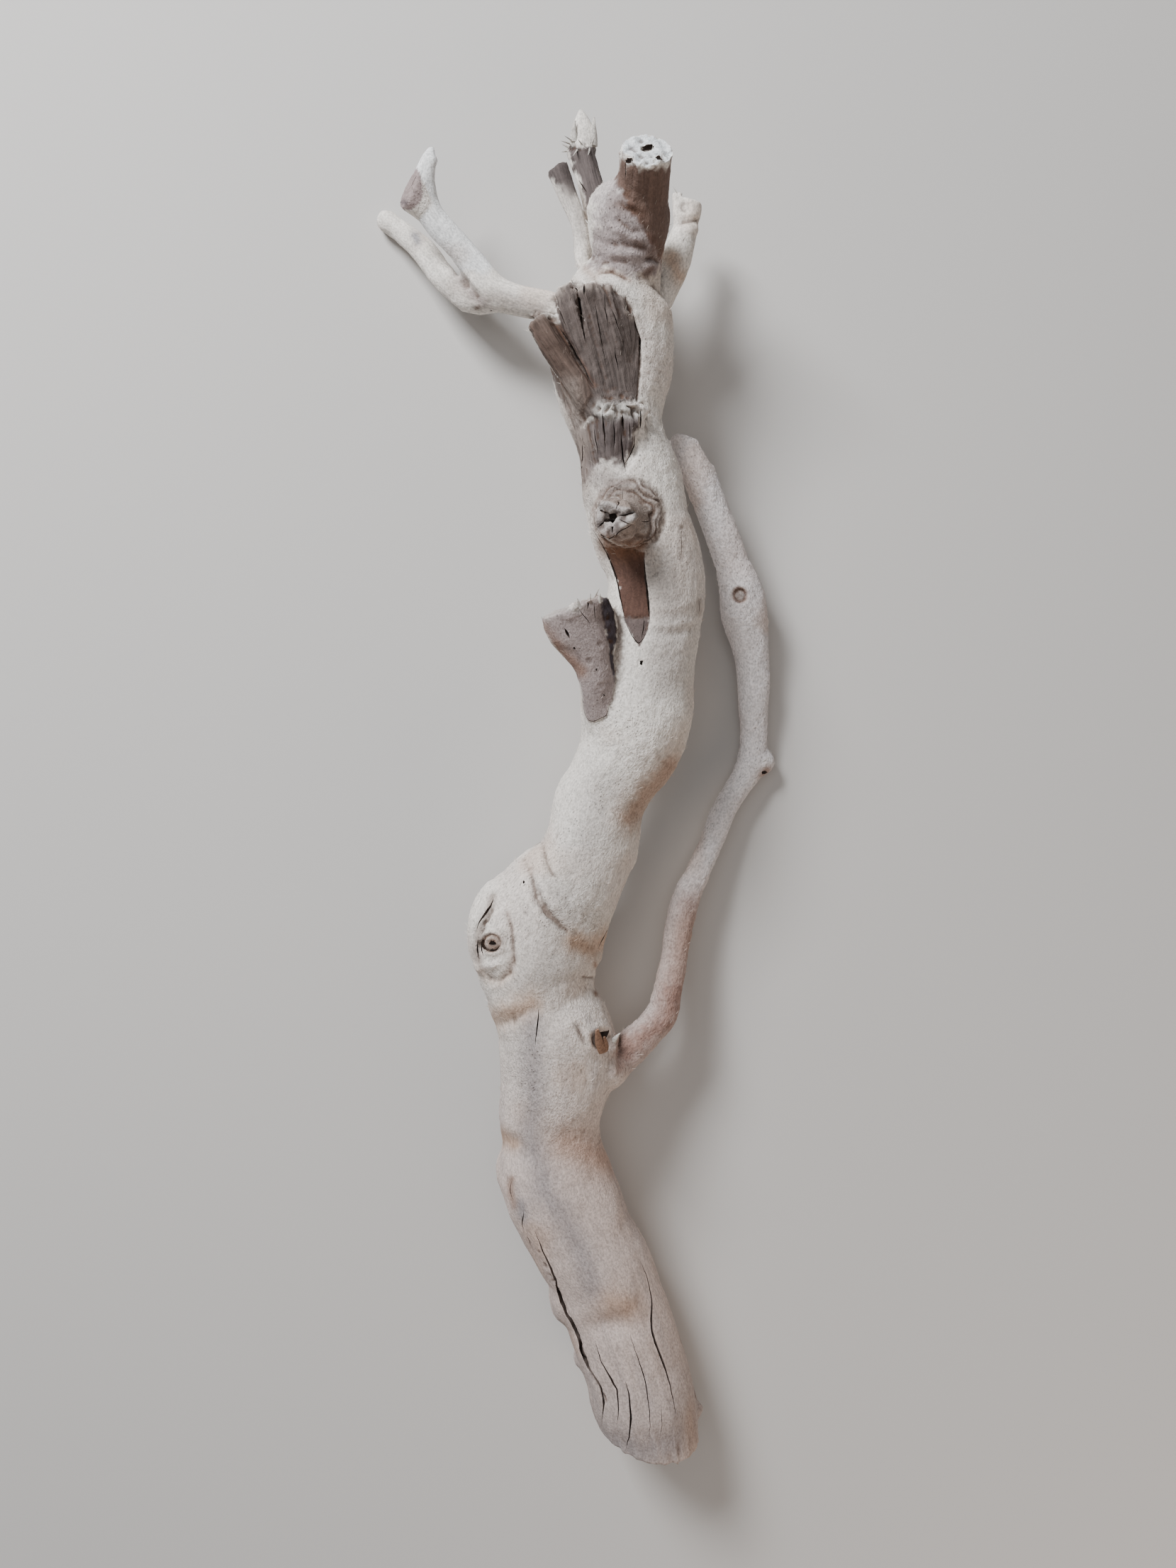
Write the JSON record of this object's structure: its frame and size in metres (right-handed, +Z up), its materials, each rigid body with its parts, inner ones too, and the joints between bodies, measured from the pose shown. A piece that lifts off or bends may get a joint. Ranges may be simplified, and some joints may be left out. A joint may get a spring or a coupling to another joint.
{
  "type": "grapevine branch",
  "caption": "Twisting sandblasted grapevine branch with a sawn foot, slender side cane, forked cane, pruning stubs, a holed knot and drying cracks; lies on its back.",
  "frame": {"origin": "on the table under the middle of the branch's bounding box", "axes": "+Y from the sawn foot to the top, +Z up, towards the side with the knots, +X towards the slender side cane"},
  "size_m": [0.2514, 0.806, 0.1175],
  "materials": {
    "wood": "matte, sandblasted and weathered"
  },
  "bodies": {
    "root": {"grapevine_branch": "wood"}
  },
  "joints": []
}
